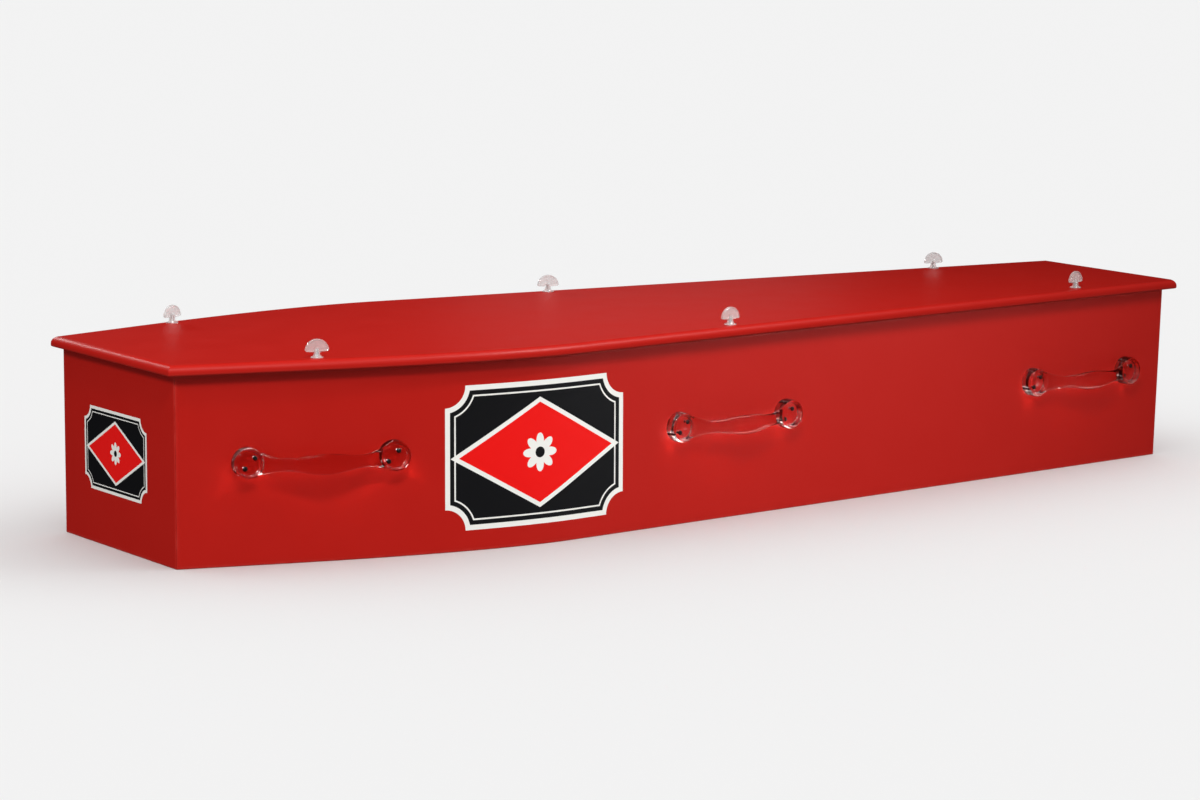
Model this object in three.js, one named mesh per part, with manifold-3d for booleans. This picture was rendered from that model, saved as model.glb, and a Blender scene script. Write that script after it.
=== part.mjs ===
// Shouldered wooden coffin with a lift-off lid, clear thumb screws and clear carrying handles.
// Millimetres, +Z up, +X towards the foot, origin under the middle of the box's bounding box.
import * as THREE from 'three';
import { mergeVertices } from 'three/addons/utils/BufferGeometryUtils.js';
import Module from 'manifold-3d';

const wasm = await Module();
wasm.setup();

// Fit: the gap left between pieces that touch.
const GAP = 0.3;

// Plan of the box at its outer faces, lengths from the head board's outer face.
const LENGTH = 1900;
const HEAD_HALF = 181;
const SHOULDER_HALF = 309;
const SHOULDER_AT = 458;
const FOOT_HALF = 161;
const BEND_HEADWARD = 328;
const BEND_FOOTWARD = 163;
const BEND_STEPS = 16;

// Boards.
const BOARD = 16;
const BOX_HEIGHT = 286;
const FOOT_RAKE = 13;

// Lid: overhang past the box, rounded upper edge, eased lower edge.
const LID_THICK = 16;
const OVERHANG = 15;
const OVERHANG_FOOT = 20;
const ROUND_OVER = 11;
const ROUND_STEPS = 4;
const LOWER_EASE = 3;

// Lid screws: places along each side from the head corner, and the turn of each fan about Z.
const SCREW_PLACES = {
  right: [['head', 215, -9], ['middle', 953, 9], ['foot', 1726, 17]],
  left: [['head', 219, 21], ['middle', 941, -14], ['foot', 1698, -5]],
};
const SCREW_FOOT_R = 9.5;
const SCREW_FOOT_RIM = 2.2;
const SCREW_STEM_R = 4.6;
const SCREW_STEM_FROM = 6.5;
const SCREW_STEM_TO = 13;
const SCREW_TIP = 17;
const FAN_R = 18.5;
const FAN_CENTRE = 9.5;
const FAN_RIM = 2;
const FAN_THICK = 3.2;
const FAN_RIM_THICK = 4.6;
const FAN_STEPS = 8;
const STUD_R = 2.5;
const STUD_ABOVE = 12.5;
const STUD_INTO_WALL = 18;

// Handles: middle of each handle along the side, height, foot spacing and bar shape.
const HANDLE_PLACES = [['head', 217], ['middle', 950], ['foot', 1727]];
const HANDLE_Z = 154;
const HANDLE_FEET = 223;
const FOOT_R = 23.5;
const FOOT_RISE = 20;
const FOOT_FLOOR = 12;
const DISH_R = 19.5;
const DISH_FLOOR_R = 17;
const BAR_WIDTH_MID = 31;
const BAR_WIDTH_NECK = 20;
const BAR_WIDTH_FOOT = 36;
const BAR_NECK_AT = 59;
const BAR_END_AT = 97;
const BAR_THICK = 6.5;
const BAR_STAND_OFF = 37;
const BAR_ROOT = 15.5;
const BAR_DROP = 3;

// Handle screws: two to a foot, on a diagonal.
const SCREW_PAIRS = 218;
const SCREW_DIAGONAL = 7.7;
const SCREW_HEAD_R = 3.7;
const SCREW_HEAD_H = 2.4;
const SCREW_SHANK_R = 1.7;
const SCREW_LENGTH = 12;

// Colours.
const RED = 0xa51b14;
const CLEAR = 0xe6eaea;
const STEEL = 0x8c8f91;
const BLACK = 0x151414;

const MIDDLE = (LENGTH + FOOT_RAKE + OVERHANG_FOOT - OVERHANG) / 2;
const LID_UNDER = BOX_HEIGHT + GAP;
const LID_TOP = LID_UNDER + LID_THICK;

// One side of the plan: straight from the head, a bend at the shoulder, straight to the foot.
const corner = new THREE.Vector2(SHOULDER_AT, SHOULDER_HALF);
const headEnd = new THREE.Vector2(0, HEAD_HALF);
const footEnd = new THREE.Vector2(LENGTH, FOOT_HALF);
const headward = corner.clone().sub(headEnd).normalize();
const footward = footEnd.clone().sub(corner).normalize();
const bendFrom = corner.clone().addScaledVector(headward, -BEND_HEADWARD);
const bendTo = corner.clone().addScaledVector(footward, BEND_FOOTWARD);

function outward(direction) {
  return new THREE.Vector2(-direction.y, direction.x);
}

// Points of the bend, moved out by the given distance.
function bendPoints(distance) {
  const points = [];
  for (let i = 0; i <= BEND_STEPS; i += 1) {
    const t = i / BEND_STEPS;
    const p = bendFrom.clone().multiplyScalar((1 - t) * (1 - t));
    p.addScaledVector(corner, 2 * t * (1 - t));
    p.addScaledVector(bendTo, t * t);
    const a = corner.clone().sub(bendFrom).multiplyScalar(1 - t);
    const b = bendTo.clone().sub(corner).multiplyScalar(t);
    const direction = a.add(b).normalize();
    points.push(p.addScaledVector(outward(direction), distance));
  }
  return points;
}

// One side of the outline, moved out by the given distance and run on to the two ends.
function sideLine(distance, atHead, atFoot) {
  const points = bendPoints(distance);
  const first = points[0];
  const last = points[points.length - 1];
  const head = first.clone().addScaledVector(headward, (atHead - first.x) / headward.x);
  const foot = last.clone().addScaledVector(footward, (atFoot - last.x) / footward.x);
  return [head, ...points, foot];
}

// Closed outline in the part's frame, anticlockwise seen from above.
function outline(distance, atHead, atFoot) {
  const side = sideLine(distance, atHead, atFoot);
  const right = side.map((p) => new THREE.Vector2(p.x - MIDDLE, -p.y));
  const left = side.map((p) => new THREE.Vector2(p.x - MIDDLE, p.y)).reverse();
  return [...right, ...left];
}

// Place on a side's outer face at a distance along it from the head corner.
function placeOnSide(along) {
  const line = sideLine(0, 0, LENGTH);
  let left = along;
  for (let i = 0; i < line.length - 1; i += 1) {
    const step = line[i].distanceTo(line[i + 1]);
    if (left <= step || i === line.length - 2) {
      const direction = line[i + 1].clone().sub(line[i]).normalize();
      return { point: line[i].clone().addScaledVector(direction, left), direction };
    }
    left -= step;
  }
  return null;
}

function meshFrom(positions, indices) {
  const geometry = new THREE.BufferGeometry();
  geometry.setAttribute('position', new THREE.Float32BufferAttribute(positions, 3));
  geometry.setIndex(indices);
  return geometry;
}

// Solid through a stack of rings with the same number of points, closed at both ends.
function loft(rings, capPoints) {
  const count = rings[0].length;
  const positions = [];
  const indices = [];
  for (const ring of rings) {
    for (const p of ring) positions.push(p.x, p.y, p.z);
  }
  for (let r = 0; r < rings.length - 1; r += 1) {
    for (let i = 0; i < count; i += 1) {
      const j = (i + 1) % count;
      const a = r * count + i;
      const b = r * count + j;
      const c = (r + 1) * count + j;
      const d = (r + 1) * count + i;
      indices.push(a, b, c, a, c, d);
    }
  }
  const lastRing = (rings.length - 1) * count;
  for (const [a, b, c] of THREE.ShapeUtils.triangulateShape(capPoints, [])) {
    indices.push(c, b, a);
    indices.push(lastRing + a, lastRing + b, lastRing + c);
  }
  return meshFrom(positions, indices);
}

// Straight prism on a plan outline.
function prism(points, low, high) {
  const ring = (z) => points.map((p) => new THREE.Vector3(p.x, p.y, z));
  return loft([ring(low), ring(high)], points);
}

// Solid of revolution about Z; the profile's first and last points lie on the axis.
function revolve(profile, segments) {
  const positions = [];
  const indices = [];
  const inner = profile.slice(1, -1);
  positions.push(0, 0, profile[0][1]);
  for (const [r, z] of inner) {
    for (let i = 0; i < segments; i += 1) {
      const angle = (2 * Math.PI * (i + 0.5)) / segments;
      positions.push(r * Math.cos(angle), r * Math.sin(angle), z);
    }
  }
  const top = 1 + inner.length * segments;
  positions.push(0, 0, profile[profile.length - 1][1]);
  for (let i = 0; i < segments; i += 1) {
    const j = (i + 1) % segments;
    indices.push(0, 1 + j, 1 + i);
    for (let k = 0; k < inner.length - 1; k += 1) {
      const a = 1 + k * segments + i;
      const b = 1 + k * segments + j;
      indices.push(a, b, b + segments, a, b + segments, a + segments);
    }
    const last = 1 + (inner.length - 1) * segments;
    indices.push(last + i, last + j, top);
  }
  return meshFrom(positions, indices);
}

function rod(radius, low, high, segments = 8) {
  return revolve([[0, low], [radius, low], [radius, high], [0, high]], segments);
}

// Joins and cuts.
function solid(geometry) {
  const bare = new THREE.BufferGeometry();
  bare.setAttribute('position', geometry.getAttribute('position'));
  bare.setIndex(geometry.getIndex());
  const merged = mergeVertices(bare, 1e-4);
  return new wasm.Manifold(new wasm.Mesh({
    numProp: 3,
    vertProperties: new Float32Array(merged.getAttribute('position').array),
    triVerts: new Uint32Array(merged.getIndex().array),
  }));
}

function geometryOf(manifold) {
  const mesh = manifold.getMesh();
  return meshFrom(Array.from(mesh.vertProperties), Array.from(mesh.triVerts));
}

const coffin = new THREE.Group();
coffin.name = 'coffin';

function addPiece(name, manifold, color, roughness, metalness, opacity = 1) {
  const material = new THREE.MeshStandardMaterial({ color, roughness, metalness });
  if (opacity < 1) {
    material.transparent = true;
    material.opacity = opacity;
  }
  const geometry = geometryOf(manifold).toNonIndexed();
  geometry.computeVertexNormals();
  const mesh = new THREE.Mesh(geometry, material);
  mesh.name = name;
  coffin.add(mesh);
}

// The plane through a corner edge and the inner corner edge behind it, as a normal and an offset.
function mitrePlane(a, b, c, towards) {
  const normal = b.clone().sub(a).cross(c.clone().sub(a)).normalize();
  if (normal.dot(towards.clone().sub(a)) < 0) normal.negate();
  return { normal, offset: normal.dot(a) };
}

function trim(manifold, plane, keepPositive) {
  const n = plane.normal;
  const sign = keepPositive ? 1 : -1;
  const normal = [sign * n.x, sign * n.y, sign * n.z];
  return manifold.trimByPlane(normal, sign * plane.offset + GAP / 2);
}

// The foot board's faces lean out towards the top.
const lean = Math.atan2(FOOT_RAKE, BOX_HEIGHT);
const rakeNormal = new THREE.Vector3(-Math.cos(lean), 0, Math.sin(lean));

function footPlane(inset) {
  const at = new THREE.Vector3(LENGTH - MIDDLE, 0, 0).addScaledVector(rakeNormal, inset);
  return { at, normal: [rakeNormal.x, rakeNormal.y, rakeNormal.z], offset: rakeNormal.dot(at) };
}

// The four walls as one ring, then cut apart on the corner mitres.
const farFoot = LENGTH + 60;
const outerFoot = footPlane(0);
const innerFoot = footPlane(BOARD);
const outerBox = solid(prism(outline(0, 0, farFoot), 0, BOX_HEIGHT)).trimByPlane(outerFoot.normal, outerFoot.offset);
const innerBox = solid(prism(outline(-BOARD, BOARD, farFoot), -20, BOX_HEIGHT + 20))
  .trimByPlane(innerFoot.normal, innerFoot.offset);
const walls = outerBox.subtract(innerBox);

// A point of one outline's corner at the head or foot, at a height.
function cornerPoint(distance, inset, atFoot, z, sideSign) {
  const footX = LENGTH + FOOT_RAKE * (z / BOX_HEIGHT) - inset / Math.cos(lean);
  const line = sideLine(distance, inset, footX);
  const p = atFoot ? line[line.length - 1] : line[0];
  return new THREE.Vector3(p.x - MIDDLE, sideSign * p.y, z);
}

function mitre(atFoot, sideSign) {
  const a = cornerPoint(0, 0, atFoot, 0, sideSign);
  const b = cornerPoint(0, 0, atFoot, BOX_HEIGHT, sideSign);
  const c = cornerPoint(-BOARD, BOARD, atFoot, 0, sideSign);
  const boardMiddle = new THREE.Vector3((atFoot ? LENGTH : 0) - MIDDLE, 0, BOX_HEIGHT / 2);
  return mitrePlane(a, b, c, boardMiddle);
}

const SIDES = [['right', -1], ['left', 1]];
const headMitres = SIDES.map(([, sign]) => mitre(false, sign));
const footMitres = SIDES.map(([, sign]) => mitre(true, sign));

// Base board: inside the walls, flush with their lower edges.
const baseFoot = footPlane(BOARD + GAP);
const baseBoard = solid(prism(outline(-BOARD - GAP, BOARD + GAP, farFoot), 0, BOARD))
  .trimByPlane(baseFoot.normal, baseFoot.offset);
addPiece('base_board', baseBoard, RED, 0.42, 0);

// Head and foot boards: the ring between the two mitres of each end.
const headBoard = trim(trim(walls, headMitres[0], true), headMitres[1], true);
addPiece('head_board', headBoard, RED, 0.42, 0);
const footBoard = trim(trim(walls, footMitres[0], true), footMitres[1], true);
addPiece('foot_board', footBoard, RED, 0.42, 0);

// A frame on a side's outer face: x to the right seen from outside, y up, z straight out.
function sideFrame(along, sideSign, halfSpan = 0) {
  const from = placeOnSide(along - halfSpan).point;
  const to = placeOnSide(along + halfSpan).point;
  const place = placeOnSide(along);
  const direction = halfSpan ? to.clone().sub(from).normalize() : place.direction;
  const point = halfSpan ? from.clone().add(to).multiplyScalar(0.5) : place.point;
  const out = outward(direction);
  const right = new THREE.Vector3(-sideSign * direction.x, -direction.y, 0);
  const away = new THREE.Vector3(out.x, sideSign * out.y, 0);
  const up = new THREE.Vector3(0, 0, 1);
  const frame = new THREE.Matrix4().makeBasis(right, up, away);
  frame.setPosition(point.x - MIDDLE, sideSign * point.y, 0);
  return frame;
}

// How far out a handle stands so that its flat feet clear the wall everywhere.
function seatHeight(along) {
  const frame = sideFrame(along, -1, HANDLE_FEET / 2);
  const back = frame.clone().invert();
  let most = 0;
  for (const centre of [-HANDLE_FEET / 2, HANDLE_FEET / 2]) {
    for (let i = -4; i <= 4; i += 1) {
      const { point } = placeOnSide(along + centre + (FOOT_R * i) / 4);
      const local = new THREE.Vector3(point.x - MIDDLE, -point.y, 0).applyMatrix4(back);
      most = Math.max(most, local.z);
    }
  }
  return most + GAP;
}

function handleFrame(along, sideSign) {
  const frame = sideFrame(along, sideSign, HANDLE_FEET / 2);
  const raise = new THREE.Matrix4().makeTranslation(0, HANDLE_Z, seatHeight(along));
  return frame.multiply(raise);
}

function moved(manifold, frame) {
  return manifold.transform(frame.elements);
}

// The two screw places of each of a handle's feet.
const screwSpots = [];
for (const centre of [-SCREW_PAIRS / 2, SCREW_PAIRS / 2]) {
  screwSpots.push([centre - SCREW_DIAGONAL, -SCREW_DIAGONAL]);
  screwSpots.push([centre + SCREW_DIAGONAL, SCREW_DIAGONAL]);
}

// Width of the handle's bar at a distance from its middle.
function barWidth(x) {
  const at = Math.abs(x);
  if (at <= BAR_NECK_AT) {
    const wave = (1 + Math.cos((Math.PI * at) / BAR_NECK_AT)) / 2;
    return BAR_WIDTH_NECK + (BAR_WIDTH_MID - BAR_WIDTH_NECK) * wave;
  }
  const t = (at - BAR_NECK_AT) / (BAR_END_AT - BAR_NECK_AT);
  return BAR_WIDTH_NECK + (BAR_WIDTH_FOOT - BAR_WIDTH_NECK) * t * t;
}

// The bar's rise from its feet: none at its ends, full in its middle.
function arch(x) {
  return Math.pow(Math.cos((Math.PI / 2) * Math.min(1, Math.abs(x) / BAR_END_AT)), 0.85);
}

function barHeight(x) {
  return BAR_ROOT + (BAR_STAND_OFF - BAR_ROOT) * arch(x);
}

// Flat section with round edges, square to the arch.
function barRing(x) {
  const half = BAR_THICK / 2;
  const flat = barWidth(x) / 2 - half;
  const slope = Math.atan2(barHeight(x + 0.5) - barHeight(x - 0.5), 1);
  const points = [];
  for (const end of [1, -1]) {
    for (let i = -1.5; i <= 1.5; i += 1) {
      const angle = (i * Math.PI) / 3;
      const across = end * (flat + half * Math.cos(angle));
      const through = end * half * Math.sin(angle);
      points.push([across, through]);
    }
  }
  return points.map(([across, through]) => new THREE.Vector3(
    x - through * Math.sin(slope),
    across - BAR_DROP * arch(x),
    barHeight(x) + through * Math.cos(slope),
  ));
}

const halfStations = [0, 0.18, 0.36, 0.54, 0.69, 0.81, 0.91, 1].map((t) => t * BAR_END_AT);
const barStations = [...halfStations.slice(1).reverse().map((x) => -x), ...halfStations];
const barRings = barStations.map(barRing);
const barCap = barRings[0].map((p) => new THREE.Vector2(p.y, p.z));
const bar = solid(loft(barRings, barCap));
const footProfile = [
  [0, 0],
  [FOOT_R - 0.8, 0],
  [FOOT_R, 1.5],
  [FOOT_R - 0.6, FOOT_RISE - 2.2],
  [FOOT_R - 2.4, FOOT_RISE],
  [0, FOOT_RISE],
];
const dishProfile = [
  [0, FOOT_FLOOR],
  [DISH_FLOOR_R, FOOT_FLOOR],
  [DISH_R, FOOT_RISE],
  [DISH_R + 1.5, FOOT_RISE + 24],
  [0, FOOT_RISE + 24],
];

// One handle: two feet and the bar, dished feet, holes for the screws.
function makeHandle() {
  const feet = [-HANDLE_FEET / 2, HANDLE_FEET / 2];
  let handle = bar;
  for (const x of feet) {
    handle = handle.add(solid(revolve(footProfile, 14)).translate([x, 0, 0]));
  }
  handle = handle.trimByPlane([0, 0, 1], 0);
  for (const x of feet) {
    handle = handle.subtract(solid(revolve(dishProfile, 14)).translate([x, 0, 0]));
  }
  for (const [x, y] of screwSpots) {
    handle = handle.subtract(solid(rod(SCREW_SHANK_R + GAP, -5, FOOT_FLOOR + 2, 6)).translate([x, y, 0]));
  }
  return handle;
}

const handleShape = makeHandle();
const headLow = FOOT_FLOOR + GAP;
const handleScrew = solid(revolve([
  [0, -SCREW_LENGTH],
  [SCREW_SHANK_R, -SCREW_LENGTH + 1.5],
  [SCREW_SHANK_R, headLow],
  [SCREW_HEAD_R, headLow],
  [SCREW_HEAD_R * 0.85, headLow + SCREW_HEAD_H],
  [0, headLow + SCREW_HEAD_H],
], 6));
const screwHole = solid(rod(SCREW_SHANK_R + GAP, -SCREW_LENGTH - 1, 20, 6));

// A lid screw's place on the lid, over the middle of the wall's upper edge.
function lidScrewFrame(along, sideSign, turn) {
  const frame = sideFrame(along, sideSign);
  const spot = new THREE.Vector3(0, 0, -BOARD / 2).applyMatrix4(frame);
  const turned = new THREE.Matrix4().makeRotationZ(THREE.MathUtils.degToRad(turn));
  turned.setPosition(spot.x, spot.y, LID_TOP + GAP);
  return turned;
}

// Side boards, with holes for the handle screws and, in the upper edge, for the lid studs.
SIDES.forEach(([sideName, sign], index) => {
  let board = trim(trim(walls, headMitres[index], false), footMitres[index], false);
  board = board.trimByPlane([0, sign, 0], 0);
  for (const [, along] of HANDLE_PLACES) {
    const frame = handleFrame(along, sign);
    for (const [x, y] of screwSpots) {
      board = board.subtract(moved(screwHole.translate([x, y, 0]), frame));
    }
  }
  for (const [, along, turn] of SCREW_PLACES[sideName]) {
    const low = BOX_HEIGHT - STUD_INTO_WALL - GAP - LID_TOP - GAP;
    const hole = solid(rod(STUD_R + GAP, low, 5));
    board = board.subtract(moved(hole, lidScrewFrame(along, sign, turn)));
  }
  addPiece(`side_board_${sideName}`, board, RED, 0.42, 0);
});

// Lid: overhanging outline, eased below, straight lip, rounded over above.
function lidRing(inset, z) {
  const distance = OVERHANG - inset;
  const points = outline(distance, -distance, LENGTH + FOOT_RAKE + OVERHANG_FOOT - inset);
  return points.map((p) => new THREE.Vector3(p.x, p.y, z));
}

const lidRings = [
  lidRing(LOWER_EASE, LID_UNDER),
  lidRing(LOWER_EASE * 0.29, LID_UNDER + LOWER_EASE * 0.29),
  lidRing(0, LID_UNDER + LOWER_EASE),
];
for (let i = 0; i <= ROUND_STEPS; i += 1) {
  const angle = (Math.PI / 2) * (i / ROUND_STEPS);
  const inset = ROUND_OVER * (1 - Math.cos(angle));
  lidRings.push(lidRing(inset, LID_TOP - ROUND_OVER + ROUND_OVER * Math.sin(angle)));
}
const lidCap = lidRings[0].map((p) => new THREE.Vector2(p.x, p.y));
let lid = solid(loft(lidRings, lidCap));
for (const [sideName, sign] of SIDES) {
  for (const [, along, turn] of SCREW_PLACES[sideName]) {
    const hole = solid(rod(STUD_R + GAP, -LID_THICK - 5, 5));
    lid = lid.subtract(moved(hole, lidScrewFrame(along, sign, turn)));
  }
}
addPiece('lid', lid, RED, 0.42, 0);

// Fan of a lid screw: a half disc whose lower edges rise a little outwards.
function fanOutline(radius, low) {
  const points = [new THREE.Vector2(-3, low), new THREE.Vector2(3, low)];
  points.push(new THREE.Vector2(radius - 1.6, low + 1));
  for (let i = 0; i <= FAN_STEPS; i += 1) {
    const angle = THREE.MathUtils.degToRad(6 + (168 * i) / FAN_STEPS);
    points.push(new THREE.Vector2(radius * Math.cos(angle), FAN_CENTRE + radius * Math.sin(angle)));
  }
  points.push(new THREE.Vector2(-radius + 1.6, low + 1));
  return points;
}

function upright(points, thickness) {
  return solid(prism(points, -thickness / 2, thickness / 2)).rotate([90, 0, 0]);
}

function makeLidScrew() {
  const stem = solid(revolve([
    [0, 0],
    [SCREW_FOOT_R, 0],
    [SCREW_FOOT_R, SCREW_FOOT_RIM],
    [SCREW_STEM_R, SCREW_STEM_FROM],
    [SCREW_STEM_R, SCREW_STEM_TO],
    [0, SCREW_TIP],
  ], 10));
  const low = FAN_CENTRE - 1;
  const rim = upright(fanOutline(FAN_R, low), FAN_RIM_THICK);
  const field = upright(fanOutline(FAN_R - FAN_RIM, low + FAN_RIM), FAN_RIM_THICK + 2);
  const web = upright(fanOutline(FAN_R - FAN_RIM / 2, low + FAN_RIM / 2), FAN_THICK);
  const whole = rim.subtract(field).add(web).add(stem);
  return whole.subtract(solid(rod(STUD_R + GAP, -5, STUD_ABOVE + GAP)));
}

const lidScrew = makeLidScrew();
const studLow = BOX_HEIGHT - STUD_INTO_WALL - LID_TOP - GAP;
const lidStud = solid(revolve([
  [0, studLow],
  [STUD_R * 0.4, studLow],
  [STUD_R, studLow + 4],
  [STUD_R, STUD_ABOVE],
  [0, STUD_ABOVE],
], 8));

for (const [sideName, sign] of SIDES) {
  for (const [end, along, turn] of SCREW_PLACES[sideName]) {
    const frame = lidScrewFrame(along, sign, turn);
    addPiece(`lid_screw_${sideName}_${end}`, moved(lidScrew, frame), CLEAR, 0.08, 0, 0.35);
    addPiece(`lid_stud_${sideName}_${end}`, moved(lidStud, frame), STEEL, 0.35, 1);
  }
}

// Handles and their screws, three to a side.
for (const [sideName, sign] of SIDES) {
  for (const [end, along] of HANDLE_PLACES) {
    const frame = handleFrame(along, sign);
    addPiece(`handle_${sideName}_${end}`, moved(handleShape, frame), CLEAR, 0.08, 0, 0.35);
    screwSpots.forEach(([x, y], i) => {
      const screw = moved(handleScrew.translate([x, y, 0]), frame);
      addPiece(`handle_screw_${sideName}_${end}_${i + 1}`, screw, BLACK, 0.4, 0.6);
    });
  }
}

export default coffin;
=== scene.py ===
# Looks of a shouldered wooden coffin with a lift-off lid, clear handles and translucent lid screws.
# Metres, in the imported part's frame: +X towards the foot, -Y the side that faces the camera, +Z up.
import math

import bmesh
import bpy
import numpy as np
from mathutils import Matrix, Vector


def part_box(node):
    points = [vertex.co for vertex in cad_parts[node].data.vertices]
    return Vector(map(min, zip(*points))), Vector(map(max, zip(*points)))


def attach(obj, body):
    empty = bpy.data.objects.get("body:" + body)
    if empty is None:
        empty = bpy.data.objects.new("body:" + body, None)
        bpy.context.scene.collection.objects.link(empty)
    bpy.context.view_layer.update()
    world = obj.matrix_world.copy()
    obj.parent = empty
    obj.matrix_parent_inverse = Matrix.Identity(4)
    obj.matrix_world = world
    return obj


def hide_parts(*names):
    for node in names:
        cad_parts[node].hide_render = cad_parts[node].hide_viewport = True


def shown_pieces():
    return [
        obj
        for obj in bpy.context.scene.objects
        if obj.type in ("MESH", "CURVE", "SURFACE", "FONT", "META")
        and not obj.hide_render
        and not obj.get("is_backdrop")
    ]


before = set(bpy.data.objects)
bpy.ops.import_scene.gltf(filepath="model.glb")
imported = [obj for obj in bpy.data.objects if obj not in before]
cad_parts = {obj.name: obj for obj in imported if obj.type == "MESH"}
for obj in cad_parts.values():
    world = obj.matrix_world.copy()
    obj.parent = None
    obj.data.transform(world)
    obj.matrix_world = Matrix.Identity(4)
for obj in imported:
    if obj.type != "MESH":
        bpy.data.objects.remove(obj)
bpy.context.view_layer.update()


# Base board: one flat board dropped in between the four walls, flush with their lower edges.
# It is painted like the rest, and pinned through the walls.
GAP = 0.0003
LENGTH = 1.900
HEAD_HALF = 0.181
SHOULDER_HALF = 0.309
SHOULDER_AT = 0.458
FOOT_HALF = 0.161
BEND_HEADWARD = 0.328
BEND_FOOTWARD = 0.163
BEND_STEPS = 56
BOARD = 0.016
WALL_HEIGHT = 0.286
FOOT_RAKE = 0.013
BASE_EASE = 0.001
BASE_SUPPORT = 0.004
HEAD_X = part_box("head_board")[0].x
PAINT_RED = (0.440, 0.0080, 0.0040, 1)
PAINT_RED_DEEP = (0.415, 0.0070, 0.0034, 1)
# Lighter red for the arrises: paint worn thin there, and a painted edge highlight.
PAINT_RED_RUB_AND_HIGHLIGHT = (0.62, 0.055, 0.042, 1)
PAINT_GLOSS = 0.20
PAINT_ROUGHNESS = 0.40

corner = np.array([SHOULDER_AT, SHOULDER_HALF])
headward = corner - [0, HEAD_HALF]
headward /= np.linalg.norm(headward)
footward = np.array([LENGTH, FOOT_HALF]) - corner
footward /= np.linalg.norm(footward)
bend_from = corner - headward * BEND_HEADWARD
bend_to = corner + footward * BEND_FOOTWARD
lean = math.atan2(FOOT_RAKE, WALL_HEIGHT)


def bend_line(out):
    """One side's bend in plan, moved out from the outer face, as (from the head, from the middle)."""
    t = np.linspace(0, 1, BEND_STEPS + 1)[:, None]
    points = (1 - t) ** 2 * bend_from + 2 * t * (1 - t) * corner + t ** 2 * bend_to
    along = (1 - t) * (corner - bend_from) + t * (bend_to - corner)
    along /= np.linalg.norm(along, axis=1, keepdims=True)
    return points + out * np.column_stack([-along[:, 1], along[:, 0]])


def plan_line(out, head_u, foot_u):
    """One side in plan, moved out from the outer face and run on to the two ends."""
    bend = bend_line(out)
    head = bend[0] + headward * (head_u - bend[0][0]) / headward[0]
    foot = bend[-1] + footward * (foot_u - bend[-1][0]) / footward[0]
    return np.vstack([head, bend, foot])


def plan_ring(out, head_u, foot_u, z):
    """The whole outline at one height, anticlockwise from above."""
    side = plan_line(out, head_u, foot_u)
    right = np.column_stack([HEAD_X + side[:, 0], -side[:, 1], np.full(len(side), z)])
    left = (right * [1, -1, 1])[::-1]
    return np.vstack([right, left])


def piece_from_rings(name, rings, sharp_deg=30, **point_values):
    """A closed mesh through rings of equal count, with values kept for each point."""
    count = len(rings[0])
    faces = []
    for r in range(len(rings) - 1):
        for i in range(count):
            j = (i + 1) % count
            low, high = r * count, (r + 1) * count
            faces.append((low + i, low + j, high + j, high + i))
    last = (len(rings) - 1) * count
    faces.append(tuple(reversed(range(count))))
    faces.append(tuple(range(last, last + count)))
    mesh = bpy.data.meshes.new(name)
    mesh.from_pydata(np.vstack(rings).tolist(), [], faces)
    shell = bmesh.new()
    shell.from_mesh(mesh)
    bmesh.ops.recalc_face_normals(shell, faces=shell.faces)
    shell.to_mesh(mesh)
    shell.free()
    for key, values in point_values.items():
        values = np.asarray(values, np.float32)
        kind, field = ("FLOAT", "value") if values.ndim == 1 else ("FLOAT_VECTOR", "vector")
        mesh.attributes.new(key, kind, "POINT").data.foreach_set(field, values.ravel())
    mesh.shade_smooth()
    mesh.set_sharp_from_angle(angle=math.radians(sharp_deg))
    piece = bpy.data.objects.new(name, mesh)
    bpy.context.scene.collection.objects.link(piece)
    return piece


def add_node(tree, kind, inputs=None, **settings):
    """A new node; inputs maps a socket to a plain value or to another node's output."""
    made = tree.nodes.new(kind)
    for key, value in settings.items():
        setattr(made, key, value)
    for key, value in (inputs or {}).items():
        if isinstance(value, bpy.types.NodeSocket):
            tree.links.new(value, made.inputs[key])
        else:
            made.inputs[key].default_value = value
    return made


def maths(tree, operation, first, second=0.0):
    return add_node(tree, "ShaderNodeMath", {0: first, 1: second}, operation=operation).outputs[0]


def mix_colours(tree, share, first, second):
    made = add_node(tree, "ShaderNodeMix", {0: share, 6: first, 7: second}, data_type="RGBA")
    return made.outputs[2]


def new_group(name, inputs, outputs):
    """An empty shader node group; sockets are given as name to (type, default)."""
    group = bpy.data.node_groups.new(name, "ShaderNodeTree")
    for key, (kind, default) in inputs.items():
        socket = group.interface.new_socket(key, in_out="INPUT", socket_type=kind)
        socket.default_value = default
    for key, kind in outputs.items():
        group.interface.new_socket(key, in_out="OUTPUT", socket_type=kind)
    source = group.nodes.new("NodeGroupInput")
    return group, source.outputs


def close_group(group, **results):
    sink = group.nodes.new("NodeGroupOutput")
    for key, socket in results.items():
        group.links.new(socket, sink.inputs[key.replace("_", " ")])


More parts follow.
